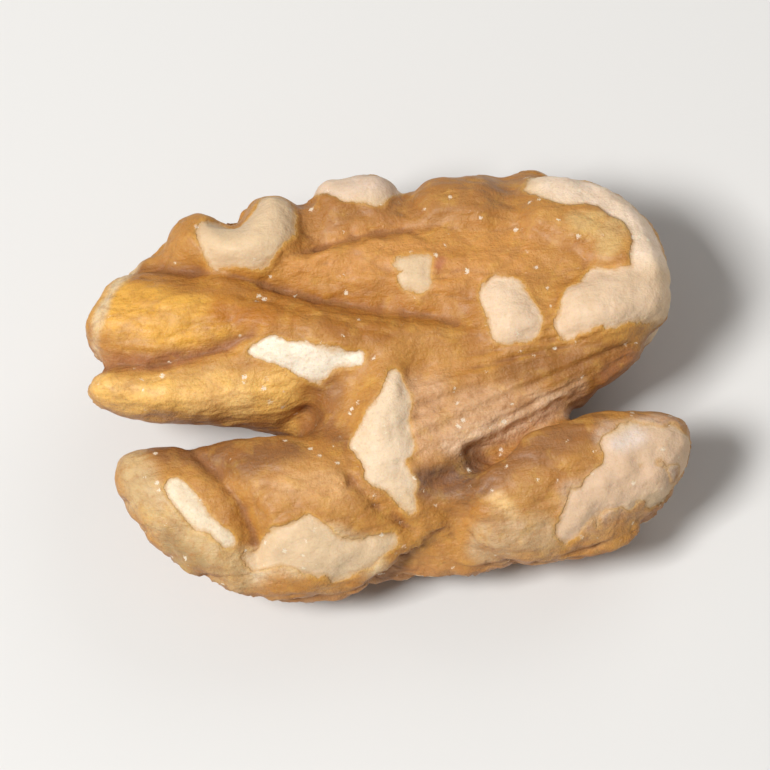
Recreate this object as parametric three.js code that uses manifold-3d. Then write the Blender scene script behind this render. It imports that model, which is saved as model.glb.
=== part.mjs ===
// A walnut kernel half: one of the two seed leaves of a walnut, out of its shell, with its
// inner side up and its folded back down. It grew as one body, so it is one mesh.
// +X runs along the nut from its base to its tip, +Y towards the broader lobe, +Z up.
import * as THREE from 'three';
import { MarchingCubes } from 'three/addons/objects/MarchingCubes.js';
import { mergeVertices } from 'three/addons/utils/BufferGeometryUtils.js';
import Module from 'manifold-3d';

// Driving sizes, in millimetres.
const LENGTH = 35;
const WIDTH = 25;
const HEIGHT = 12;
const FACE = 9.7; // height of the inner face between its folds
const FRONT = { from: 4, to: 6.5 }; // height over which the inner side's creases set in
const SINK = 0.6; // how far the lowest folds reach below the underside before they are cut flat
const CELL = new THREE.Vector3(0.96, 0.82, 0.82); // grid that the surface is drawn from
const BLEND = { body: 2, lobes: 1.5, face: 1.2, cleft: 0.8, fold: 0.6 }; // widths of the joins

// The back: ridges that run along each lobe, broken up into lumps.
const RIDGE = { height: 2.3, perTurn: 3.8 };
const LUMP = { height: 1.1, every: 2.6, sway: 1.3, round: 2.6 };
const WANDER = [
  { by: 1.3, along: 3.1, round: 1.7 },
  { by: 0.4, along: 1.7, round: -2 },
];
const FADE = { axis: 4.5, end: 5, face: 1.4 }; // where the folds die out by a lobe's axis, ends and face
const broadAxis = { y: 5.6, z: 8, seed: 1 };
const narrowAxis = { y: -6.4, z: 6.4, seed: 2.4 };

const { clamp, lerp, smoothstep } = THREE.MathUtils;

// The lower or higher of two distances, rounded off over the width k.
function softMin(a, b, k) {
  const h = Math.max(k - Math.abs(a - b), 0) / k;
  return Math.min(a, b) - (h * h * k) / 4;
}
function softMax(a, b, k) {
  return -softMin(-a, -b, k);
}

// A fold: a rope of changing thickness along a curve. Each stop is [x, y, z, radius].
function fold(stops) {
  const line = new THREE.CatmullRomCurve3(stops.map(([x, y, z]) => new THREE.Vector3(x, y, z)));
  const count = (stops.length - 1) * 4;
  const points = line.getPoints(count);
  const radii = points.map((_, i) => {
    const at = (i / count) * (stops.length - 1);
    const k = Math.min(Math.floor(at), stops.length - 2);
    return lerp(stops[k][3], stops[k + 1][3], at - k);
  });
  const segment = new THREE.Vector3();
  const reach = new THREE.Vector3();
  return (p) => {
    let nearest = Infinity;
    for (let i = 0; i < count; i++) {
      segment.subVectors(points[i + 1], points[i]);
      reach.subVectors(p, points[i]);
      const t = clamp(reach.dot(segment) / segment.lengthSq(), 0, 1);
      const away = reach.addScaledVector(segment, -t).length();
      nearest = Math.min(nearest, away - lerp(radii[i], radii[i + 1], t));
    }
    return nearest;
  };
}

// A rounded mass: an ellipsoid, turned about Z by a number of degrees.
function mass([x, y, z], [rx, ry, rz], degrees = 0) {
  const turn = THREE.MathUtils.degToRad(degrees);
  const c = Math.cos(turn);
  const s = Math.sin(turn);
  const q = new THREE.Vector3();
  const g = new THREE.Vector3();
  return (p) => {
    const dx = p.x - x;
    const dy = p.y - y;
    q.set((dx * c + dy * s) / rx, (-dx * s + dy * c) / ry, (p.z - z) / rz);
    g.set(q.x / rx, q.y / ry, q.z / rz);
    const k0 = q.length();
    return k0 < 1e-6 ? -Math.min(rx, ry, rz) : (k0 * (k0 - 1)) / g.length();
  };
}

// The broad lobe: its round body, then the folds that show on its inner side.
const broadBody = [
  mass([-3.4, 6.0, 6.2], [11.6, 6.8, 6.3]),
  mass([7.4, 5.8, 6.2], [9.4, 6.8, 6.3]),
  mass([-10.4, 5.8, 7.0], [6.2, 4.8, 4.6], 14),
  mass([11.2, 5.6, 7.0], [5.6, 5.8, 5.3]),
];
const broadFolds = [
  // golden fold beside the long crease, and the one below it along the base cleft
  fold([
    [-14.8, 5.4, 7.9, 2.2], [-11.9, 5.3, 7.7, 2.9], [-8, 4.5, 8.1, 2.5],
    [-4, 3.1, 8.7, 2.0], [1, 1.9, 8.7, 1.6], [4.2, 1.4, 8.5, 1.3],
  ]),
  fold([
    [-15.6, 1.7, 7.6, 1.7], [-12.6, 0.7, 7.2, 2.2],
    [-9.4, 0.4, 6.9, 2.3], [-5.6, 1.0, 6.9, 2.1],
  ]),
  // crest with two knobs
  fold([
    [-9.9, 9.8, 8.4, 2.1], [-8.5, 8.4, 9.1, 1.9],
    [-6.1, 8.5, 9.4, 1.9], [-4.9, 10.3, 8.6, 2.1],
  ]),
  // scallops of the rim
  fold([[-13.6, 7.4, 7.2, 2.1], [-11.4, 8.8, 7.0, 2.4]]),
  fold([[-6.6, 10.4, 6.9, 2.5], [-4.8, 11.0, 6.8, 2.3]]),
  fold([[-2.0, 10.9, 7.8, 2.4], [0.6, 11.1, 7.8, 2.4]]),
  fold([[4.4, 10.0, 7.9, 2.6], [6.6, 9.6, 7.9, 2.6]]),
  fold([[10.6, 8.2, 8.2, 2.5], [13.4, 6.8, 8.4, 2.3], [15.1, 4.6, 8.5, 2.2]]),
  // middle of the face, between the rim and the long crease
  fold([
    [-5.4, 7.0, 8.0, 1.6], [-2.6, 6.9, 8.1, 2.0], [1.4, 6.6, 8.0, 2.4],
    [6, 5.6, 8.0, 2.3], [11, 5.2, 8.0, 2.1],
  ]),
  // knobs at the tip
  fold([[15.0, 2.8, 8.4, 2.1], [12.8, 1.8, 8.9, 2.2], [12.0, 2.2, 8.9, 2.1]]),
  fold([[8.0, 2.8, 8.4, 2.1], [8.1, 1.8, 8.5, 2.1]]),
];
// The shelf that fans out from the neck to the tip, with a thin edge over the hollow.
const fan = [
  fold([
    [0.8, -5.8, 6.8, 1.5], [4.2, -4.2, 7.2, 1.3],
    [8.4, -2.8, 7.3, 1.1], [12.4, -1.4, 7.2, 1.0],
  ]),
  fold([[0.6, -2.6, 7.2, 2.1], [5, -1.0, 7.6, 1.9], [9.6, -0.4, 7.7, 1.6], [14.0, 0.4, 7.8, 1.4]]),
];
const neck = [
  fold([[-1.2, 1.4, 7.2, 2.4], [-1.6, -2.4, 6.0, 2.7], [-0.8, -6.8, 4.8, 2.8]]),
  fold([[0.4, 0.2, 8.8, 1.2], [-0.4, -3.4, 8.3, 1.5], [-0.2, -7.6, 6.4, 1.3]]),
];
// The narrow lobe, in a base part and a tip part.
const narrowBody = [
  mass([-6.0, -6.2, 4.5], [8.6, 5.1, 4.6], -8),
  mass([9.2, -6.6, 4.6], [7.6, 4.5, 4.6], 12),
  mass([2.4, -5.4, 4.4], [6.5, 4.6, 4.0]),
];
const narrowFolds = [
  fold([[-14.3, -3.9, 6.2, 2.0], [-12.9, -5.8, 5.9, 2.5], [-11.4, -7.6, 5.2, 2.3]]),
  fold([[-13.0, -3.8, 6.1, 1.8], [-9.6, -4.2, 6.3, 2.0], [-6.2, -5.1, 6.1, 2.0]]),
  fold([
    [-10.6, -9.0, 5.2, 1.8], [-7.4, -10.3, 4.8, 1.8],
    [-3.4, -9.8, 5.0, 1.8], [0.2, -8.6, 5.2, 1.6],
  ]),
  fold([[-7.4, -5.6, 6.2, 2.4], [-3.6, -6.8, 6.2, 2.6]]),
  fold([
    [4.4, -9.4, 4.4, 1.9], [7.4, -9.9, 4.6, 1.9], [11.6, -8.7, 5.4, 2.0],
    [14.6, -7.0, 6.2, 2.1], [15.6, -5.6, 6.6, 1.7],
  ]),
  fold([[4.0, -7.0, 5.0, 2.6], [8.4, -6.2, 5.6, 2.9], [12.6, -5.7, 5.9, 2.6]]),
];

// A crease in the inner face, drawn in plan: rounded shoulders that meet in a sharp line. Each
// stop is [x, y, depth].
function crease(width, stops) {
  const line = new THREE.CatmullRomCurve3(stops.map(([x, y, depth]) => new THREE.Vector3(x, y, depth)));
  const points = line.getPoints((stops.length - 1) * 4);
  return (p) => {
    let nearest = Infinity;
    let depth = 0;
    for (let i = 0; i + 1 < points.length; i++) {
      const a = points[i];
      const b = points[i + 1];
      const run = (b.x - a.x) ** 2 + (b.y - a.y) ** 2;
      const t = clamp(((p.x - a.x) * (b.x - a.x) + (p.y - a.y) * (b.y - a.y)) / run, 0, 1);
      const away = Math.hypot(p.x - lerp(a.x, b.x, t), p.y - lerp(a.y, b.y, t));
      if (away > nearest) continue;
      nearest = away;
      depth = lerp(a.z, b.z, t);
    }
    const near = 1 - Math.min(nearest / width, 1);
    return depth * near * near;
  };
}
const creases = [
  crease(2.0, [
    [-15.2, 9.5, 0.9], [-11.2, 8.4, 0.6], [-7.6, 7.1, 0.4], [-4.8, 5.8, 0.6],
    [-1.6, 4.6, 0.8], [1.2, 3.7, 0.6], [4.6, 2.7, 0.1],
  ]),
  crease(1.4, [[-17.0, 2.9, 0.8], [-13.4, 2.1, 0.6], [-9.3, 2.5, 0.4], [-7, 3.0, 0]]),
  crease(1.6, [[-3.4, 14.0, 1.8], [-3.4, 11.4, 1.3], [-3.0, 9.4, 0.8], [-1.8, 8.0, 0]]),
  crease(1.6, [[2.6, 14.0, 1.5], [2.6, 11.2, 1.0], [3.4, 9.0, 0]]),
  crease(1.6, [[8.6, 13.6, 1.5], [8.7, 11.2, 1.0], [9.3, 9.0, 0]]),
  crease(1.5, [[-7.9, 13.6, 1.6], [-7.7, 11.4, 1.3], [-7.7, 10.2, 0.9]]),
  crease(1.5, [[-12.0, 12.0, 1.4], [-12.4, 9.8, 0.8], [-12.0, 8.4, 0.2]]),
  crease(1.8, [
    [-10.9, -2.4, 0.5], [-10.2, -4.6, 0.7], [-9.0, -7.0, 0.9], [-8.7, -9.2, 1.3], [-9.2, -12.8, 1.7],
  ]),
  crease(1.6, [[2.4, -7.4, 0], [3.2, -8.8, 0.9], [3.2, -12.6, 1.6]]),
];

// The clefts that part the two lobes at the base and at the tip: a wedge in plan each, whose
// floor drops away towards its open end.
function cleft(p, { from, to, middle, width, floor }) {
  const t = clamp((p.x - from) / (to - from), 0, 1.3);
  const side = Math.abs(p.y - lerp(middle[0], middle[1], t));
  const half = lerp(width[0], width[1], t) / 2;
  const bottom = lerp(floor[0], floor[1], clamp(1.6 * t, 0, 1));
  const start = (from - p.x) * Math.sign(to - from);
  return softMax(softMax(side - half, start, BLEND.face), bottom - p.z, BLEND.face);
}
const baseCleft = { from: -4.6, to: -17, middle: [-2.4, -0.9], width: [1.2, 1.9], floor: [4.2, -3] };
const tipCleft = { from: 9.6, to: 17, middle: [-3.3, -2.4], width: [0.9, 2.5], floor: [4.8, -3] };
const tipHollow = mass([6.8, -5.1, 7.6], [5.6, 0.9, 1.5], 24);

// Height of the folds on the back of a lobe: long rounded ridges with sharp creases between
// them, which wander and break up into lumps, and die out towards the lobe's ends and face.
function backFolds(p, { y, z, seed }) {
  const turn = Math.atan2(p.y - y, z - p.z);
  const wander = WANDER.reduce(
    (sum, w, i) => sum + w.by * Math.sin(p.x / w.along + w.round * turn + (i + 1) * seed),
    0,
  );
  const ridges = Math.abs(Math.cos(RIDGE.perTurn * turn + wander + seed));
  const sway = LUMP.sway * Math.sin(LUMP.round * turn + seed);
  const lumps = Math.abs(Math.cos(p.x / LUMP.every + sway + seed));
  const inward = smoothstep(Math.hypot(p.y - y, p.z - z), 0, FADE.axis);
  const ends = smoothstep(LENGTH / 2 - Math.abs(p.x), -1, FADE.end);
  const below = smoothstep(z - p.z, -FADE.face, FADE.face);
  return inward * ends * below * (RIDGE.height * (ridges - 1) + LUMP.height * lumps);
}

function joined(parts, p, blend) {
  return parts.reduce((d, part) => softMin(d, part(p), blend), Infinity);
}

// Distance to the kernel's surface, negative inside.
function kernel(p) {
  const front = smoothstep(p.z, FRONT.from, FRONT.to);
  const broad = joined(broadBody, p, BLEND.body) - backFolds(p, broadAxis);
  const narrow = joined(narrowBody, p, BLEND.body) - backFolds(p, narrowAxis);
  let d = softMin(broad, narrow, BLEND.lobes);
  d = softMax(d, p.z - FACE, BLEND.face);
  d = softMin(d, joined(fan, p, BLEND.body), BLEND.cleft);
  d = softMin(d, joined(narrowFolds, p, BLEND.face), BLEND.face);
  d = softMin(d, joined([...broadFolds, ...neck], p, BLEND.fold), BLEND.fold);
  for (const c of creases) d += front * c(p);
  d = softMax(d, -cleft(p, baseCleft), BLEND.cleft);
  d = softMax(d, -cleft(p, tipCleft), BLEND.cleft);
  return softMax(d, -tipHollow(p), BLEND.fold);
}

// Draws the surface where the distance is zero, as one closed mesh.
function surfaceOf(distance) {
  const size = Math.ceil((LENGTH + 4) / CELL.x);
  const half = CELL.clone().multiplyScalar(size / 2);
  const centre = new THREE.Vector3(0, 0, HEIGHT / 2);
  const cubes = new MarchingCubes(size, new THREE.Material(), false, false, 40000);
  cubes.isolation = 0;
  const p = new THREE.Vector3();
  const least = 0.12; // keeps every crossing off the grid's own corners
  for (let k = 0; k < size; k++)
    for (let j = 0; j < size; j++)
      for (let i = 0; i < size; i++) {
        p.set(i, j, k).divideScalar(size / 2).subScalar(1).multiply(half).add(centre);
        const d = clamp(distance(p), -2, 2);
        cubes.setCell(i, j, k, d < 0 ? Math.max(-d, least) : Math.min(-d, -least));
      }
  cubes.update();
  const raw = new THREE.BufferGeometry();
  const positions = cubes.geometry.getAttribute('position').array.slice(0, cubes.count * 3);
  raw.setAttribute('position', new THREE.BufferAttribute(positions, 3));
  raw.scale(half.x, half.y, half.z).translate(centre.x, centre.y, centre.z);
  return mergeVertices(raw, 1e-3);
}

// Evens out the triangles: each corner moves towards the middle of its neighbours, and then
// back onto the surface, against the slope of the distance.
function relax(geometry, distance, rounds) {
  const position = geometry.getAttribute('position');
  const index = geometry.index.array;
  const neighbours = Array.from({ length: position.count }, () => new Set());
  for (let t = 0; t < index.length; t += 3)
    for (let e = 0; e < 3; e++) neighbours[index[t + e]].add(index[t + ((e + 1) % 3)]);
  const p = new THREE.Vector3();
  const sum = new THREE.Vector3();
  const slope = new THREE.Vector3();
  const step = 0.05;
  const rise = (axis) => {
    p[axis] += step;
    const ahead = distance(p);
    p[axis] -= 2 * step;
    const behind = distance(p);
    p[axis] += step;
    return (ahead - behind) / (2 * step);
  };
  for (let round = 0; round < rounds; round++) {
    const before = position.clone();
    for (let v = 0; v < position.count; v++) {
      sum.set(0, 0, 0);
      for (const n of neighbours[v]) sum.add(p.fromBufferAttribute(before, n));
      p.fromBufferAttribute(before, v).lerp(sum.divideScalar(neighbours[v].size), 0.5);
      const d = distance(p);
      slope.set(rise('x'), rise('y'), rise('z'));
      p.addScaledVector(slope, -clamp(d / Math.max(slope.lengthSq(), 0.25), -0.3, 0.3));
      position.setXYZ(v, p.x, p.y, p.z);
    }
  }
  return geometry;
}

const wasm = await Module();
wasm.setup();

function solidOf(geometry) {
  const mesh = new wasm.Mesh({
    numProp: 3,
    vertProperties: geometry.getAttribute('position').array,
    triVerts: new Uint32Array(geometry.index.array),
  });
  mesh.merge();
  return new wasm.Manifold(mesh);
}

function geometryOf(solid) {
  const mesh = solid.getMesh();
  const geometry = new THREE.BufferGeometry();
  geometry.setAttribute('position', new THREE.BufferAttribute(mesh.vertProperties, 3));
  geometry.setIndex(new THREE.BufferAttribute(mesh.triVerts, 1));
  return geometry;
}

// Grows the kernel, drops the crumbs that creases cut loose, and gives its lowest folds flat
// spots to rest on. It is then brought to its driving sizes, round the middle of its underside.
const grown = solidOf(relax(surfaceOf(kernel), kernel, 2)).decompose();
const largest = grown.reduce((a, b) => (b.volume() > a.volume() ? b : a));
const above = new THREE.BoxGeometry(2 * LENGTH, 2 * WIDTH, 2 * HEIGHT).translate(0, 0, HEIGHT - SINK);
for (const name of ['normal', 'uv']) above.deleteAttribute(name);
const geometry = geometryOf(largest.intersect(solidOf(mergeVertices(above))));
geometry.computeBoundingBox();
const box = geometry.boundingBox;
const middle = box.getCenter(new THREE.Vector3());
const size = box.getSize(new THREE.Vector3());
geometry.translate(-middle.x, -middle.y, -box.min.z);
geometry.scale(LENGTH / size.x, WIDTH / size.y, HEIGHT / size.z);
geometry.computeVertexNormals();

const nut = new THREE.Mesh(
  geometry,
  new THREE.MeshStandardMaterial({ color: 0xb9833f, roughness: 0.55, metalness: 0 }),
);
nut.name = 'walnut_half';

const part = new THREE.Group();
part.add(nut);

export default part;
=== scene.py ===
import math

import bmesh
import bpy
import numpy as np
from mathutils import Matrix, Vector, noise


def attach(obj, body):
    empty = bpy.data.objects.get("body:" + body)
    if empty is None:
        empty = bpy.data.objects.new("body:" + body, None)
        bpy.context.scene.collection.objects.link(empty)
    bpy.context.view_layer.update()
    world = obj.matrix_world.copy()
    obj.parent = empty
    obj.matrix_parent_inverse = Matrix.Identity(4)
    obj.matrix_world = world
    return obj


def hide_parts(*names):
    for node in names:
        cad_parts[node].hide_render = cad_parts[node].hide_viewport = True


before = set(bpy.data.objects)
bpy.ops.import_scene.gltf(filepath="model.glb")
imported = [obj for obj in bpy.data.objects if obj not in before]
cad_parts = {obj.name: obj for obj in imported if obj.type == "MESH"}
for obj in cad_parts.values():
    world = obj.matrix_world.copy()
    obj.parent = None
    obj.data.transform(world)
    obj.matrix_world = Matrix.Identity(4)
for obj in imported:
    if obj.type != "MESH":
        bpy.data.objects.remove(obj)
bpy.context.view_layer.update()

# Camera and light
# The kernel is seen from above its cleft side, turned so that its long axis rises to the right,
# close enough to fill most of the frame. A large soft lamp stands in front of it on the left and
# a weaker one behind it on the right, in an even pale surround.
ELEVATION = math.radians(68)
ROLL = math.radians(7)
DISTANCE = 0.30
AIM = Vector((0.0, 0.0, 0.006))
LENS = 236.0
SURROUND = (1.0, 0.98, 0.95, 1)
SURROUND_STRENGTH = 0.21

back = Vector((0, -math.cos(ELEVATION), math.sin(ELEVATION)))
camera = bpy.data.objects.new("camera", bpy.data.cameras.new("camera"))
camera.data.lens = LENS
camera.data.clip_start = 0.01
camera.data.clip_end = 10
turn = (-back).to_track_quat("-Z", "Y") @ Matrix.Rotation(-ROLL, 3, "Z").to_quaternion()
camera.matrix_world = Matrix.LocRotScale(AIM + back * DISTANCE, turn, None)
bpy.context.scene.collection.objects.link(camera)
bpy.context.scene.camera = camera
bpy.context.scene.view_settings.view_transform = "Standard"


def soft_lamp(name, at, size, power):
    """A square lamp at a place in metres, aimed at the kernel."""
    lamp = bpy.data.objects.new(name, bpy.data.lights.new(name, "AREA"))
    lamp.data.size = size
    lamp.data.energy = power
    aim = (AIM - Vector(at)).to_track_quat("-Z", "Y")
    lamp.matrix_world = Matrix.LocRotScale(Vector(at), aim, None)
    bpy.context.scene.collection.objects.link(lamp)


soft_lamp("key_lamp", at=(-0.22, -0.10, 0.40), size=0.14, power=2.3)
soft_lamp("fill_lamp", at=(0.30, 0.34, 0.34), size=0.40, power=0.65)

surround = bpy.data.worlds.new("surround")
bpy.context.scene.world = surround
surround.use_nodes = True
background = surround.node_tree.nodes["Background"]
background.inputs["Color"].default_value = SURROUND
background.inputs["Strength"].default_value = SURROUND_STRENGTH

# Floor
# A plain sheet of pale matt board that the kernel lies on, made of a single face. It isn't part
# of the object.
BOARD = (0.72, 0.71, 0.69, 1)

floor_mesh = bpy.data.meshes.new("floor")
sheet = bmesh.new()
bmesh.ops.create_grid(sheet, x_segments=1, y_segments=1, size=1.0)
sheet.to_mesh(floor_mesh)
sheet.free()
floor = bpy.data.objects.new("floor", floor_mesh)
bpy.context.scene.collection.objects.link(floor)
board = bpy.data.materials.new("pale_board")
board.use_nodes = True
board.node_tree.nodes["Principled BSDF"].inputs["Base Color"].default_value = BOARD
board.node_tree.nodes["Principled BSDF"].inputs["Roughness"].default_value = 0.8
floor_mesh.materials.append(board)

# Kernel half
# One seed leaf of a walnut, grown as one body: oily cream flesh under a thin golden-tan skin,
# folded into lobes, with the skin rubbed off its crests. Its mesh is a copy of the solid, redrawn
# finely and shaped by moving its vertices. From here on, lengths are in millimetres.
MM = 0.001
FINE = 0.19  # spacing of the finished mesh
COARSE = 0.25  # spacing of the mesh while its narrow pits are closed
SWELL = 0.55  # how far the surface is moved outward to close them
CLEFT_LINE = -2.4  # y of the middle of the two clefts

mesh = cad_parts["walnut_half"].data.copy()
mesh.name = "walnut_kernel"
mesh.materials.clear()
merged = bmesh.new()
merged.from_mesh(mesh)
bmesh.ops.remove_doubles(merged, verts=merged.verts, dist=1e-7)
merged.to_mesh(mesh)
merged.free()
kernel = bpy.data.objects.new("walnut_kernel", mesh)
bpy.context.scene.collection.objects.link(kernel)


def apply_modifier(kind, **settings):
    """Adds a modifier of this kind to the kernel and applies it."""
    modifier = kernel.modifiers.new(kind.lower(), kind)
    for key, value in settings.items():
        setattr(modifier, key, value)
    bpy.context.view_layer.objects.active = kernel
    bpy.ops.object.modifier_apply(modifier=modifier.name)


def positions():
    """Every vertex in millimetres."""
    co = np.empty(len(kernel.data.vertices) * 3)
    kernel.data.vertices.foreach_get("co", co)
    return co.reshape(-1, 3) / MM


def outward():
    """The normal at every vertex."""
    normal = np.empty(len(kernel.data.vertices) * 3)
    kernel.data.vertices.foreach_get("normal", normal)
    return normal.reshape(-1, 3)


def move_to(points, lowest=0.0):
    """Moves the vertices, none of them lower than this."""
    points[:, 2] = np.maximum(points[:, 2], lowest)
    kernel.data.vertices.foreach_set("co", (points * MM).ravel())
    kernel.data.update()


def step(low, high, values):
    """0 on the low side and 1 on the high side, smoothly between. High may be below low."""
    t = np.clip((values - low) / (high - low), 0, 1)
    return t * t * (3 - 2 * t)


def in_clefts(points):
    """1 in the clefts between the lobes, 0 away from them."""
    return step(3.6, 2.6, np.abs(points[:, 1] - CLEFT_LINE)) * step(2.0, 4.0, points[:, 2])


def swell(amount):
    """Moves the surface outward, but not in the clefts."""
    points = positions()
    move_to(points + outward() * (amount * (1 - in_clefts(points)))[:, None], lowest=-1.0)


# Pits too narrow for a kernel are closed by swelling the shape and drawing it in again.
apply_modifier("SUBSURF", levels=1, render_levels=1)
apply_modifier("REMESH", mode="VOXEL", voxel_size=COARSE * MM)
swell(SWELL)
apply_modifier("REMESH", mode="VOXEL", voxel_size=COARSE * MM)
swell(-SWELL)
apply_modifier("REMESH", mode="VOXEL", voxel_size=FINE * MM, use_smooth_shade=True)

mesh = kernel.data
count = len(mesh.vertices)
edges = np.empty(len(mesh.edges) * 2, int)
mesh.edges.foreach_get("vertices", edges)
start, end = edges.reshape(-1, 2).T
degree = np.bincount(start, minlength=count) + np.bincount(end, minlength=count)

NOISE_GAIN = 1.6  # brings the noise to about -1 to 1
SEED_STEP = 17.3  # how far one seed's noise lies from the next one's


def averaged(values, rounds):
    """Values at the vertices, each averaged with its neighbours' a number of times."""
    values = values.reshape(count, -1)
    for _ in range(rounds):
        total = np.stack(
            [
                np.bincount(start, column[end], count) + np.bincount(end, column[start], count)
                for column in values.T
            ],
            axis=1,
        )
        values = 0.5 * values + 0.5 * total / degree[:, None]
    return values


def noise_at(places):
    """Smooth noise from about -1 to 1, in lumps about 1 across."""
    return np.array([noise.noise(p) for p in places.tolist()]) * NOISE_GAIN


def grain(points, size, seed, stretch=(1, 1, 1)):
    """Noise at the vertices, in lumps of this size, longer where stretched."""
    return noise_at(points / (size * np.array(stretch)) + SEED_STEP * seed)


def hump(values, middle, width):
    """1 where the values are at the middle, falling off smoothly over the width."""
    return np.exp(-(((values - middle) / width) ** 2))


def beside(points, stops):
    """Distance in plan to a line of (x, y, value) stops, and the value at the nearest place."""
    nearest = np.full(count, 1e9)
    value = np.zeros(count)
    for a, b in zip(np.array(stops), np.array(stops)[1:]):
        along = b[:2] - a[:2]
        off = points[:, :2] - a[:2]
        t = np.clip(off @ along / (along @ along), 0, 1)
        away = np.hypot(*(off - t[:, None] * along).T)
        nearer = away < nearest
        nearest = np.where(nearer, away, nearest)
        value = np.where(nearer, a[2] + t * (b[2] - a[2]), value)
    return nearest, value


def relief_over(points, rounds):
    """How far each vertex stands out of the surface round it: crests above 0, creases below."""
    return ((points - averaged(points, rounds)) * outward()).sum(axis=1)


# The steps that the coarse solid leaves are smoothed out, and whatever lies deeper than a crease
# below the surface round it is lifted. A pit's two depths are where the lift begins and is whole.
NEAR = 30  # rounds of averaging, which spread a value over about 0.7 mm
WIDE = 60  # the same, over about 1 mm
FACE_PIT = (0.18, 0.50)
BACK_PIT = (0.25, 0.55)

move_to(averaged(positions(), 3))
on_face = step(0.0, 0.4, outward()[:, 2]) * step(4, 6.5, positions()[:, 2])
for _ in range(4):
    points = positions()
    general = averaged(outward(), NEAR)
    general /= np.linalg.norm(general, axis=1, keepdims=True)
    depth = ((averaged(points, WIDE) - points) * general).sum(axis=1)
    pits = on_face * step(*FACE_PIT, depth) + (1 - on_face) * step(*BACK_PIT, depth)
    lift = np.minimum(1.6 * averaged(pits, 4), 1)
    move_to(points + lift * (averaged(points, NEAR) - points))

# The creases of the back are cut deeper, apart from those that are deep already.
CREASE_CUT = 0.30
points = positions()
depth = -relief_over(points, WIDE)
cut = averaged((1 - on_face) * CREASE_CUT * step(0.02, 0.3, depth) * step(0.8, 0.5, depth), 2)
move_to(points - outward() * cut)

# Lines of the inner face, each with its half width, its depth (below 0 for a ridge) and its
# course in plan, as (x, y, strength) stops. Each has a low shoulder on both sides.
FACE_LINES = [
    (1.00, 0.46, [(-14.6, 8.2, 0.8), (-11.2, 7.3, 1), (-7.6, 6.1, 1), (-4.8, 4.9, 1),
                  (-1.6, 3.8, 1), (1.2, 2.9, 0.9), (4.4, 2.0, 0.6), (6.4, 1.6, 0)]),
    (0.60, 0.20, [(-12.4, 6.2, 0), (-9.0, 5.0, 0.6), (-6.4, 4.3, 1), (-3.9, 3.1, 1),
                  (-1.5, 1.9, 1), (1.4, 0.9, 1), (4.0, 0.3, 0)]),
    (0.50, 0.34, [(-17.4, 2.5, 1), (-13.4, 1.6, 1), (-9.3, 1.9, 0.9), (-7.0, 2.4, 0.3)]),
    (0.80, -0.28, [(-4.6, 6.3, 0.6), (-3.0, 6.6, 1), (-0.9, 7.0, 1), (1.2, 7.4, 0.8), (3.5, 7.5, 0)]),
    (0.60, 0.30, [(-4.0, 7.2, 0.6), (-2.4, 7.6, 1), (0.2, 7.9, 1), (4.3, 7.8, 0.7),
                  (7.8, 7.1, 0.5), (11, 6.8, 0)]),
    (0.60, 0.14, [(-3.6, 5.6, 0), (0.6, 5.3, 1), (5.0, 4.4, 0.6), (6.0, 4.2, 0)]),
    (0.65, 0.36, [(-11.9, -3.3, 0.8), (-10.7, -5.0, 1), (-9.3, -7.2, 1), (-8.7, -8.8, 1),
                  (-8.6, -10.4, 1)]),
    (0.55, 0.30, [(-3.2, -5.9, 0.2), (-2.5, -7.3, 1), (-1.2, -8.8, 1), (0.6, -9.9, 0.8)]),
    (0.55, 0.20, [(2.2, -9.0, 0.5), (3.6, -9.4, 1), (5.6, -8.6, 0.4), (7.4, -8.2, 0)]),
    (1.10, 0.90, [(-8.5, 12.0, 1), (-7.7, 10.7, 1), (-7.3, 9.9, 0)]),
]
points = positions()
wobble = 0.12 * grain(points, 1.3, 3)
for width, depth, stops in FACE_LINES:
    away, strength = beside(points, stops)
    across = (away + wobble) / width
    profile = hump(across, 0, 0.5) - 0.25 * hump(across, 1.6, 0.5)
    points[:, 2] -= on_face * depth * strength * profile
move_to(points)

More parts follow.
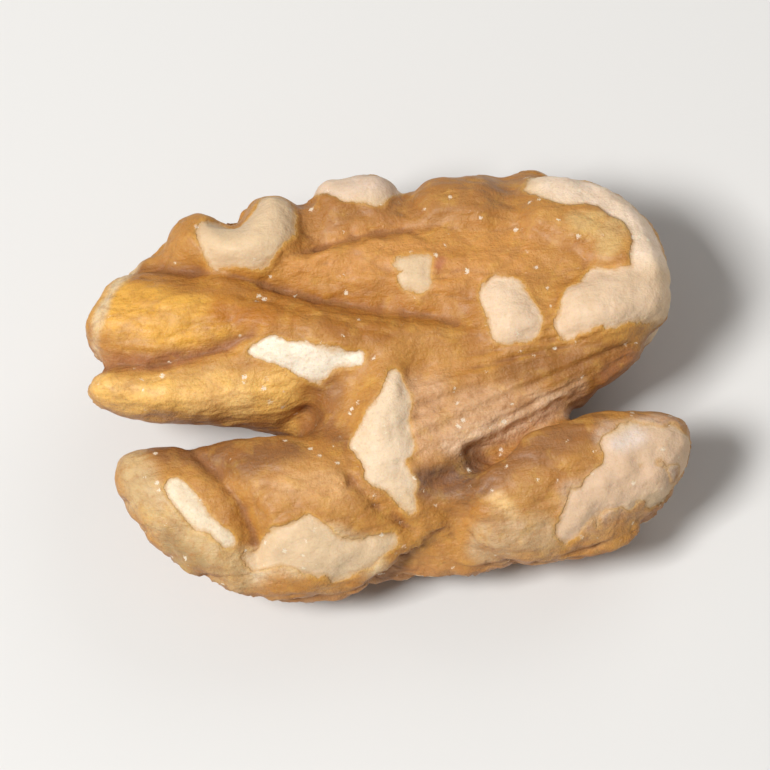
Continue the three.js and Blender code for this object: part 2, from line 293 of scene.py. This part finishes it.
# Patches of the inner side with the skin rubbed off, as strokes of (x, y, half width) in plan.
# "bare" is how far a place lies outside the nearest patch, below 0 inside it. No stroke reaches
# round to the underside. Their flesh is smooth and stands up a little.
RUBBED = [
    [(-8.9, 8.9, 1.2), (-8.2, 8.1, 1.6), (-6.8, 7.9, 1.6), (-5.7, 8.9, 1.5), (-5.3, 10.4, 1.1)],
    [(-2.2, 11.6, 0.7), (-0.7, 11.1, 1.2), (0.8, 11.0, 1.4), (2.0, 11.4, 0.8)],
    [(10.9, 9.8, 1.2), (12.4, 9.2, 1.3), (14.2, 8.6, 1.0), (15.9, 7.0, 0.9),
     (16.4, 5.1, 1.0), (16.6, 3.4, 1.4)],
    [(7.4, 2.8, 1.3), (8.0, 1.1, 1.5)],
    [(11.0, 0.4, 0.8), (12.3, 1.4, 1.6), (13.4, 1.7, 2.1), (15.2, 1.8, 1.6), (16.6, 1.8, 1.4)],
    [(1.9, 5.5, 0.5), (3.0, 5.3, 0.6), (2.7, 4.5, 0.8), (2.2, 4.8, 0.8)],
    [(-7.4, 1.4, 0.4), (-6.2, 1.2, 0.7), (-4.6, 0.6, 1.0), (-3.6, 0.2, 0.9),
     (-2.6, 0.2, 0.6), (-1.4, 0.1, 0.3)],
    [(0.7, -1.3, 0.4), (0.6, -2.4, 0.8), (0.1, -3.6, 1.3), (-0.5, -5.0, 1.9),
     (-0.5, -6.4, 1.5), (0.3, -7.9, 0.8), (0.7, -8.9, 0.3)],
    [(-12.9, -6.0, 0.6), (-12.3, -6.9, 0.8), (-11.6, -8.1, 0.6), (-10.2, -9.2, 0.4)],
    [(-8.8, -10.4, 0.6), (-7.2, -10.1, 1.0), (-5.7, -10.2, 1.4),
     (-4.2, -10.9, 1.0), (-2.4, -11.0, 0.7), (-0.6, -10.3, 0.3)],
    [(9.4, -11.2, 0.5), (10.7, -9.9, 1.1), (12.6, -8.6, 1.2), (13.6, -7.2, 1.3),
     (15.0, -6.9, 1.4), (16.2, -7.0, 1.3)],
    [(12.4, -9.4, 0.9), (15.2, -8.9, 0.8)],
]
FAR_OUTSIDE = 9.0
OUT_OF_REACH = 6.0
FLESH_DOME = 0.28

points = positions()
bare = np.full(count, FAR_OUTSIDE)
for stops in RUBBED:
    away, half = beside(points, stops)
    bare = np.minimum(bare, away - half)
bare += OUT_OF_REACH * step(-0.1, -0.5, outward()[:, 2])
bare += OUT_OF_REACH * step(6.0, 4.5, points[:, 2])
bare += 0.18 * grain(points, 1.5, 11) + 0.06 * grain(points, 0.6, 12)
worn_end = step(9, 12, points[:, 0]) * step(-4, -7, points[:, 1])
bare += 0.45 * worn_end * grain(points, 0.9, 13)
flesh = step(0.5, -0.3, bare)[:, None]
dome = FLESH_DOME * averaged(step(0.2, -1.1, bare), 4)
move_to(points + flesh * (averaged(points, 10) - points) + outward() * dome)

# Striations run from the neck over the shelf and draw together towards the tip. The rest of the
# face has fine lengthwise wrinkles. The back is puffed into small winding folds.
TIP = np.array([18.0, 0.2])
SHELF = [(2.6, -4.2, 0), (6.4, -2.4, 0), (12.6, -1.0, 0)]
STRIA = 0.17  # heights of the striations, wrinkles, furrows and folds
WRINKLE = 0.045
FURROW = 0.09
FOLD = 0.50
SMALL_FOLD = 0.18

points = positions()
normal = outward()
walls = in_clefts(points)
lumps = 0.08 * grain(points, 1.7, 8) + 0.045 * grain(points, 0.7, 9)

toward = points[:, :2] - TIP
reach = np.hypot(*toward.T)
bearing = np.arctan2(-toward[:, 1], -toward[:, 0])
striae = noise_at(np.column_stack([reach * 0.10, bearing * 30, points[:, 2] * 0.2]))
from_shelf, _ = beside(points, SHELF)
on_shelf = on_face * step(3.2, 1.6, from_shelf)

leaning = points @ np.array([[0.95, 0.31, 0], [-0.31, 0.95, 0], [0, 0, 1]])
wrinkles = WRINKLE * grain(leaning, 0.5, 5, (5, 1, 1))
wrinkles -= FURROW * hump(grain(leaning, 1.5, 6, (3.2, 1, 1)), 0, 0.10)

on_back = step(0.45, -0.15, normal[:, 2]) * (1 - walls)
on_back *= step(0.1, 1.0, points[:, 2]) * step(9.2, 7.0, points[:, 2])
warped = points + 0.9 * np.column_stack([grain(points, 3.0, 30 + axis) for axis in range(3)])
folds = np.abs(grain(warped, 2.9, 35, (1.9, 1, 1)))
small_folds = np.abs(grain(warped, 1.4, 36, (1.8, 1, 1)))
# The valleys between the back folds, which the material darkens as painted shade.
fold_valley_shade = on_back * (0.5 * hump(folds, 0, 0.15) + 0.25 * hump(small_folds, 0, 0.15))

rise = on_shelf * STRIA * striae + (1 - on_shelf) * (1 - 0.7 * walls) * wrinkles + lumps
rise += on_back * FOLD * (np.minimum(folds / 0.5, 1) ** 0.6 - 0.75)
rise += on_back * SMALL_FOLD * (np.minimum(small_folds / 0.45, 1) ** 0.7 - 0.75)
move_to(points + normal * (rise * (1 - flesh[:, 0]))[:, None])

# Skin is also rubbed off crests of the sides and the back, in patches here and there. A thin
# lip of skin stands round each patch, and the flesh lies just below it.
LIP = 0.05
SKIN_DEPTH = 0.08

points = positions()
normal = outward()
crests = 1.5 - 2.6 * step(0.06, 0.50, relief_over(points, WIDE)) - 1.3 * grain(points, 5.0, 14)
crests += 0.16 * grain(points, 1.3, 15) + 4 * step(-0.1, 0.4, normal[:, 2])
bare = np.minimum(bare, crests)
rubbed = step(0.15, -0.15, bare)
flesh_grain = 0.03 * grain(points, 0.45, 21) + 0.08 * grain(points, 1.2, 22)
rise = LIP * hump(bare, 0.18, 0.13) + rubbed * (flesh_grain - SKIN_DEPTH)
move_to(points + normal * rise[:, None])

# The mesh carries where it is bare, where painted shade goes into its creases and the valleys of
# its back folds, and where it is turned to the back, for the material to read.
points = positions()
fine_crease_shade = step(0.01, 0.10, -averaged(relief_over(points, 8), 1)[:, 0])
broad_crease_shade = step(0.05, 0.7, -relief_over(points, 90))
on_front = step(-0.1, 0.35, normal[:, 2]) * step(3.5, 6.0, points[:, 2])
shapes = {
    "bare": np.clip(bare, -1, 1),
    "crease_shade": 0.6 * fine_crease_shade + 0.6 * broad_crease_shade + fold_valley_shade,
    "back": 1 - on_front,
}
for name, values in shapes.items():
    layer = mesh.attributes.new(name, "FLOAT", "POINT")
    layer.data.foreach_set("value", values.astype(np.float32))

# Tints of the inner side, each a colour, how far it fades out, and its course as (x, y, half
# width). Later ones lie over earlier ones.
SKIN = (0.54, 0.25, 0.053)
BACK_SKIN = (0.47, 0.22, 0.075)
SKIN_TINTS = [
    # Broad lobe: brown outer slope, orange middle, two golden end folds and a red-brown seam,
    # with painted shade in the creases, a painted rim light and a painted highlight.
    ((0.43, 0.19, 0.045), 1.8, [(-3.4, 10.0, 1.2), (4.0, 10.2, 1.4), (9.0, 9.8, 1.0)]),
    ((0.62, 0.28, 0.065), 1.8, [(-4.0, 6.6, 0.6), (0.6, 6.3, 1.2), (5.0, 5.2, 1.4), (8.0, 5.6, 1.0)]),
    ((0.78, 0.40, 0.060), 1.4, [(-14.6, 5.4, 1.6), (-11.2, 3.8, 1.6), (-8.0, 3.2, 1.0)]),
    # Painted shade in the band between the long crease and the second crease below it.
    ((0.48, 0.20, 0.030), 1.0, [(-13.4, 7.3, 0.5), (-8.0, 5.3, 0.8), (-3.2, 3.7, 0.9), (2.9, 2.3, 0.6)]),
    ((0.48, 0.175, 0.016), 1.0, [(-8.8, 3.7, 0.6), (-5.4, 3.0, 0.6)]),
    # Painted shade in the left end of the long crease.
    ((0.30, 0.125, 0.030), 0.6, [(-13.9, 8.2, 0.2), (-12.4, 7.6, 0.2), (-10.4, 6.9, 0.1)]),
    # Painted shade along the middle of the second crease.
    ((0.40, 0.15, 0.016), 0.8, [(-2.8, 2.1, 0.4), (0.2, 1.4, 0.4)]),
    ((0.86, 0.50, 0.135), 1.2, [(-16.0, 0.2, 1.0), (-11.6, -1.0, 1.1), (-6.4, -0.9, 0.8)]),
    # A painted highlight along the lower golden fold.
    ((0.96, 0.60, 0.210), 0.8, [(-11.4, -1.3, 0.3), (-8.4, -1.3, 0.3)]),
    # A painted rim light along the left end.
    ((0.76, 0.56, 0.320), 0.4, [(-16.9, 3.0, 0.1), (-16.3, 4.8, 0.2), (-15.0, 7.0, 0.2),
                                (-13.7, 8.8, 0.1)]),
    ((0.40, 0.17, 0.070), 0.5, [(-17.4, 2.5, 0.4), (-13.4, 1.6, 0.3), (-9.3, 1.9, 0.2),
                                (-7.4, 2.3, 0.1)]),
    ((0.46, 0.19, 0.035), 1.0, [(5.3, 3.2, 0.3), (5.5, 0.4, 0.3)]),
    # Shelf and neck: pinkish with a pale lower edge, painted shadow towards the tip, a thin
    # brown line near the tip, and painted shade on the neck's side.
    ((0.66, 0.38, 0.190), 1.2, [(2.4, -2.3, 0.8), (2.2, -5.4, 0.8), (5.7, -3.7, 1.2), (8.6, -3.3, 0.4)]),
    # Painted shadow on the shelf under the knobs of the broad lobe.
    ((0.33, 0.135, 0.026), 1.0, [(7.6, -1.6, 0.4), (10.9, -1.7, 0.8), (13.7, -1.5, 0.5)]),
    ((0.82, 0.54, 0.330), 0.6, [(3.4, -5.6, 0.4), (6.0, -4.7, 0.3), (8.5, -3.9, 0.3),
                                (11.4, -2.9, 0.1)]),
    ((0.43, 0.18, 0.070), 0.5, [(12.8, -2.4, 0.2), (14.6, -1.2, 0.2)]),
    # Painted shade on the neck's side.
    ((0.27, 0.115, 0.034), 0.9, [(-3.6, -1.2, 0.6), (-4.2, -2.8, 0.8), (-3.0, -4.6, 0.3)]),
    # Tip of the broad lobe: a thin yellow place within the bare rim.
    ((0.66, 0.41, 0.150), 0.6, [(12.4, 6.6, 0.5), (14.6, 6.2, 0.8), (14.0, 4.9, 0.5)]),
    ((0.54, 0.25, 0.060), 0.6, [(10.6, 7.1, 0.4), (11.4, 6.2, 0.4)]),
    # Base half of the narrow lobe: orange face, painted shade along the edge by the cleft, pale worn
    # rim.
    ((0.56, 0.27, 0.070), 1.4, [(-8.6, -6.4, 0.9), (-5.0, -6.1, 1.0), (-3.4, -8.0, 0.5)]),
    ((0.72, 0.39, 0.140), 0.9, [(-6.2, -7.0, 0.4), (-3.8, -7.5, 0.5)]),
    # Painted shade along the edge by the cleft.
    ((0.27, 0.115, 0.035), 1.0, [(-13.6, -3.0, 0.8), (-10.1, -4.1, 0.9), (-8.4, -4.8, 0.9),
                                 (-6.0, -4.6, 0.6)]),
    ((0.62, 0.42, 0.195), 0.8, [(-15.4, -3.2, 0.6), (-14.8, -5.8, 0.9), (-13.2, -8.4, 0.7),
                                (-10.0, -11.0, 0.9)]),
    ((0.74, 0.56, 0.340), 0.7, [(-8.6, -10.6, 0.6), (-5.6, -10.4, 0.8), (-2.0, -11.0, 0.6)]),
    # Tip half of the narrow lobe: brown face, painted shade in the hollow by the neck, pale spot and
    # worn end.
    ((0.31, 0.130, 0.036), 1.2, [(4.6, -7.9, 0.9), (8.6, -6.4, 0.8), (11.8, -5.6, 0.5)]),
    # Painted shade in the hollow by the neck, darkest in its middle.
    ((0.20, 0.105, 0.062), 0.9, [(2.0, -7.6, 0.7), (3.6, -7.3, 0.8), (5.0, -6.0, 0.3)]),
    ((0.24, 0.10, 0.026), 0.7, [(4.0, -8.5, 0.3), (5.0, -8.2, 0.4)]),
    ((0.80, 0.50, 0.200), 0.5, [(5.6, -9.2, 0.3), (6.0, -9.9, 0.6)]),
    ((0.52, 0.26, 0.070), 0.8, [(7.6, -8.6, 0.7), (8.2, -9.9, 0.5)]),
    ((0.56, 0.36, 0.180), 0.8, [(4.4, -11.0, 0.6), (8.2, -11.2, 0.6)]),
    ((0.68, 0.48, 0.330), 0.9, [(12.8, -6.4, 0.5), (15.4, -6.6, 1.3), (15.2, -8.2, 1.0),
                                (10.6, -10.0, 0.9)]),
    # A darker place on the worn rim, and a small red stain by the smallest patch.
    ((0.42, 0.27, 0.110), 0.6, [(-13.6, -8.8, 0.3), (-12.2, -10.1, 0.4)]),
    ((0.52, 0.19, 0.080), 0.3, [(4.2, 5.5, 0.15), (3.9, 4.9, 0.1)]),
]
FLESH = (0.74, 0.54, 0.33)
FLESH_TINTS = [
    ((0.82, 0.61, 0.420), 1.0, [(7.4, 2.8, 1.3), (8.0, 1.1, 1.4)]),
    ((0.77, 0.56, 0.370), 1.0, [(10.7, 0.4, 1.0), (13.6, 1.7, 2.0), (15.4, 1.9, 1.4)]),
    ((0.92, 0.82, 0.660), 0.6, [(-7.3, 1.6, 1.0), (-3.8, 0.7, 1.2), (-1.6, 0.2, 1.0)]),
    ((0.74, 0.56, 0.420), 1.0, [(-1.9, 11.5, 1.0), (1.9, 11.5, 1.0)]),
    # Pale flesh on the broad lobe's tip rim, made paler still as painted light where it slopes away from
    # the lamps.
    ((0.92, 0.72, 0.540), 1.0, [(11.4, 9.8, 0.8), (14.3, 8.6, 1.2), (16.4, 5.2, 1.4)]),
    ((0.82, 0.63, 0.430), 1.0, [(0.4, -2.8, 1.6), (-0.5, -5.4, 2.0)]),
    ((0.84, 0.70, 0.500), 1.0, [(-12.8, -5.9, 1.0), (-10.2, -8.5, 1.0)]),
    ((0.72, 0.50, 0.330), 0.8, [(9.4, -10.6, 1.4), (13.0, -8.2, 1.6), (16.0, -7.4, 1.4)]),
    # A painted highlight on the worn end of the narrow lobe.
    ((0.78, 0.63, 0.520), 0.6, [(13.0, -6.9, 0.2), (14.2, -6.5, 0.4)]),
]
drift = 0.30 * grain(points, 1.6, 40)


def tinted(base, tints):
    """Colours at the vertices: a base colour with the tints laid over it one after another."""
    hue = np.array(base) * np.ones((count, 1))
    for colour, fade, stops in tints:
        away, half = beside(points, stops)
        edge_at = away - half + drift * min(fade, 1)
        amount = on_front * step(fade, -0.3 * fade, edge_at)
        hue += amount[:, None] * (np.array(colour) - hue)
    return hue


def painted(name, hue):
    """Stores colours on the mesh."""
    layer = mesh.attributes.new(name, "FLOAT_COLOR", "POINT")
    colours = np.column_stack([hue, np.ones(count)]).astype(np.float32)
    layer.data.foreach_set("color", colours.ravel())


all_round = np.array(BACK_SKIN) + on_front[:, None] * (np.array(SKIN) - np.array(BACK_SKIN))
painted("tint", tinted(all_round, SKIN_TINTS))
painted("flesh_tint", tinted(FLESH, FLESH_TINTS))

# Skin and flesh are one material, parted at the edges of the rubbed patches. The skin is mottled
# and veined and thin round the patches, with painted shade in its creases. Crumbs lie on both.
AMBER = (0.42, 0.16, 0.026, 1)
GOLD = (0.76, 0.43, 0.085, 1)
VEIN = (0.26, 0.10, 0.030, 1)
# Painted shade: one colour for the creases and a darker one for the deepest of them.
CREASE_SHADE = (0.30, 0.115, 0.032, 1)
DEEP_SHADE = (0.09, 0.036, 0.018, 1)
TAN_FLESH = (0.62, 0.42, 0.24, 1)
FRAYED = (0.56, 0.31, 0.11, 1)
CRUMB = (0.88, 0.76, 0.58, 1)
RELIEF = 0.14  # height of the finest wrinkles, given by bump

skin = bpy.data.materials.new("kernel_skin")
skin.use_nodes = True
tree = skin.node_tree
shader = tree.nodes["Principled BSDF"]
coordinates = tree.nodes.new("ShaderNodeTexCoord")


def linked(socket, value):
    """Gives a socket a colour or number, or links it to another socket."""
    if isinstance(value, bpy.types.NodeSocket):
        tree.links.new(value, socket)
    else:
        socket.default_value = value


def attribute_of(name, output="Fac"):
    """The value of one of the mesh's attributes."""
    source = tree.nodes.new("ShaderNodeAttribute")
    source.attribute_name = name
    return source.outputs[output]


def in_lumps(size, stretch=(1, 1, 1), bent=0.0):
    """Object coordinates counted in lumps of this size, longer where stretched."""
    scale = tree.nodes.new("ShaderNodeMapping")
    scale.inputs["Scale"].default_value = [1 / (size * MM * s) for s in stretch]
    tree.links.new(coordinates.outputs["Object"], scale.inputs["Vector"])
    if not bent:
        return scale.outputs["Vector"]
    sway = tree.nodes.new("ShaderNodeTexNoise")
    sway.inputs["Scale"].default_value = 0.9
    tree.links.new(scale.outputs["Vector"], sway.inputs["Vector"])
    shift = tree.nodes.new("ShaderNodeVectorMath")
    shift.operation = "MULTIPLY_ADD"
    tree.links.new(sway.outputs["Color"], shift.inputs[0])
    shift.inputs[1].default_value = (bent, bent, bent)
    tree.links.new(scale.outputs["Vector"], shift.inputs[2])
    return shift.outputs["Vector"]


def pattern(size, detail=4.0, rough=0.55, stretch=(1, 1, 1)):
    """Noise from 0 to 1 in lumps of this size."""
    source = tree.nodes.new("ShaderNodeTexNoise")
    source.inputs["Scale"].default_value = 1
    source.inputs["Detail"].default_value = detail
    source.inputs["Roughness"].default_value = rough
    tree.links.new(in_lumps(size, stretch), source.inputs["Vector"])
    return source.outputs["Fac"]


def cells(size, feature, stretch=(1, 1, 1), bent=0.0):
    """Distance within a net of cells of this size."""
    source = tree.nodes.new("ShaderNodeTexVoronoi")
    source.feature = feature
    source.inputs["Scale"].default_value = 1
    tree.links.new(in_lumps(size, stretch, bent), source.inputs["Vector"])
    return source.outputs["Distance"]


def between(value, low, high, out_low=0.0, out_high=1.0):
    """A value brought from one range to another, and held within it."""
    ranged = tree.nodes.new("ShaderNodeMapRange")
    linked(ranged.inputs["Value"], value)
    ends = {"From Min": low, "From Max": high, "To Min": out_low, "To Max": out_high}
    for key, number in ends.items():
        ranged.inputs[key].default_value = number
    return ranged.outputs["Result"]


def joined(a, b, way="ADD"):
    """Two numbers added, or joined in another way."""
    sum_node = tree.nodes.new("ShaderNodeMath")
    sum_node.operation = way
    linked(sum_node.inputs[0], a)
    linked(sum_node.inputs[1], b)
    return sum_node.outputs["Value"]


def times(a, b):
    """Two numbers multiplied."""
    return joined(a, b, "MULTIPLY")


def mixed(amount, under, over):
    """A colour with another laid over it by an amount."""
    mix = tree.nodes.new("ShaderNodeMix")
    mix.data_type = "RGBA"
    linked(mix.inputs["Factor"], amount)
    linked(mix.inputs["A"], under)
    linked(mix.inputs["B"], over)
    return mix.outputs["Result"]


def mottled(under, over, source, low, high, most):
    """A colour with another laid over it where a pattern is above low, wholly above high."""
    return mixed(between(source, low, high, 0, most), under, over)


on_the_back = attribute_of("back")
# Where painted shade is laid into the creases.
painted_crease_shade = attribute_of("crease_shade")
ragged_edge = between(pattern(0.35, 4, 0.6), 0.3, 0.7, -0.07, 0.07)
edge = joined(attribute_of("bare"), ragged_edge)
bare_here = between(edge, 0.035, -0.035)
frayed = between(edge, -0.22, -0.02)
thin_skin = between(edge, 0.20, 0.03, 0, 0.35)

veins = between(cells(3.6, "DISTANCE_TO_EDGE", (1.8, 1, 1), 1.1), 0.0, 0.06, 1, 0)
veins = times(veins, between(on_the_back, 0, 1, 0.35, 1.0))
fine_veins = between(cells(1.5, "DISTANCE_TO_EDGE", (1.6, 1, 1), 0.9), 0.0, 0.05, 1, 0)
fine_veins = times(fine_veins, between(on_the_back, 0, 1, 0.20, 0.5))
streaks = pattern(0.5, 3, 0.6, (6, 1, 1))
# Painted shade for the deepest creases, stronger on the back.
deep_shade = times(between(painted_crease_shade, 0.60, 1.15), between(on_the_back, 0, 1, 0.35, 0.80))

skin_colour = mottled(attribute_of("tint", "Color"), AMBER, pattern(2.4), 0.50, 0.76, 0.6)
skin_colour = mottled(skin_colour, GOLD, pattern(1.1), 0.52, 0.74, 0.4)
skin_colour = mottled(skin_colour, AMBER, streaks, 0.52, 0.74, 0.35)
skin_colour = mottled(skin_colour, AMBER, pattern(0.32, 4, 0.65), 0.50, 0.68, 0.38)
skin_colour = mixed(thin_skin, skin_colour, GOLD)
skin_colour = mixed(times(fine_veins, 0.7), skin_colour, VEIN)
skin_colour = mixed(times(veins, 0.6), skin_colour, VEIN)
# Painted shade in the creases, darker still in the deepest.
skin_colour = mottled(skin_colour, CREASE_SHADE, painted_crease_shade, 0.05, 0.65, 0.70)
skin_colour = mixed(deep_shade, skin_colour, DEEP_SHADE)

flesh_colour = attribute_of("flesh_tint", "Color")
flesh_colour = mottled(flesh_colour, TAN_FLESH, pattern(1.3, 5, 0.6), 0.42, 0.62, 0.32)
flesh_colour = mottled(flesh_colour, TAN_FLESH, pattern(0.18, 3, 0.6), 0.52, 0.70, 0.45)
flesh_colour = mixed(times(frayed, 0.7), flesh_colour, FRAYED)

ragged_crumb = between(pattern(0.10, 3, 0.7), 0.3, 0.7, -0.12, 0.12)
crumbs = between(joined(cells(0.9, "F1"), ragged_crumb), 0.12, 0.17, 1, 0)
crumbs = times(crumbs, between(pattern(1.3, 2), 0.54, 0.58))
kernel_colour = mixed(bare_here, skin_colour, flesh_colour)
linked(shader.inputs["Base Color"], mixed(times(crumbs, 0.8), kernel_colour, CRUMB))

# The skin is slightly oily, and the flesh and the creases are duller.
gloss = joined(between(pattern(0.9), 0.3, 0.7, 0.36, 0.58), between(bare_here, 0, 1, 0, 0.25))
linked(shader.inputs["Roughness"], joined(gloss, between(painted_crease_shade, 0.2, 0.9, 0, 0.3)))
shader.inputs["Specular IOR Level"].default_value = 0.42
shader.inputs["Coat Weight"].default_value = 0.08
shader.inputs["Coat Roughness"].default_value = 0.28
shader.inputs["Subsurface Weight"].default_value = 0.18
shader.inputs["Subsurface Radius"].default_value = (1.0, 0.50, 0.22)
shader.inputs["Subsurface Scale"].default_value = 0.4 * MM

height = joined(joined(streaks, pattern(0.28, 4, 0.65)), times(veins, -0.35))
height = times(height, between(bare_here, 0, 1, 1, 0.6))
bump = tree.nodes.new("ShaderNodeBump")
bump.inputs["Distance"].default_value = RELIEF * MM
bump.inputs["Strength"].default_value = 0.8
linked(bump.inputs["Height"], height)
tree.links.new(bump.outputs["Normal"], shader.inputs["Normal"])
mesh.materials.append(skin)

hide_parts("walnut_half")
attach(kernel, "root")
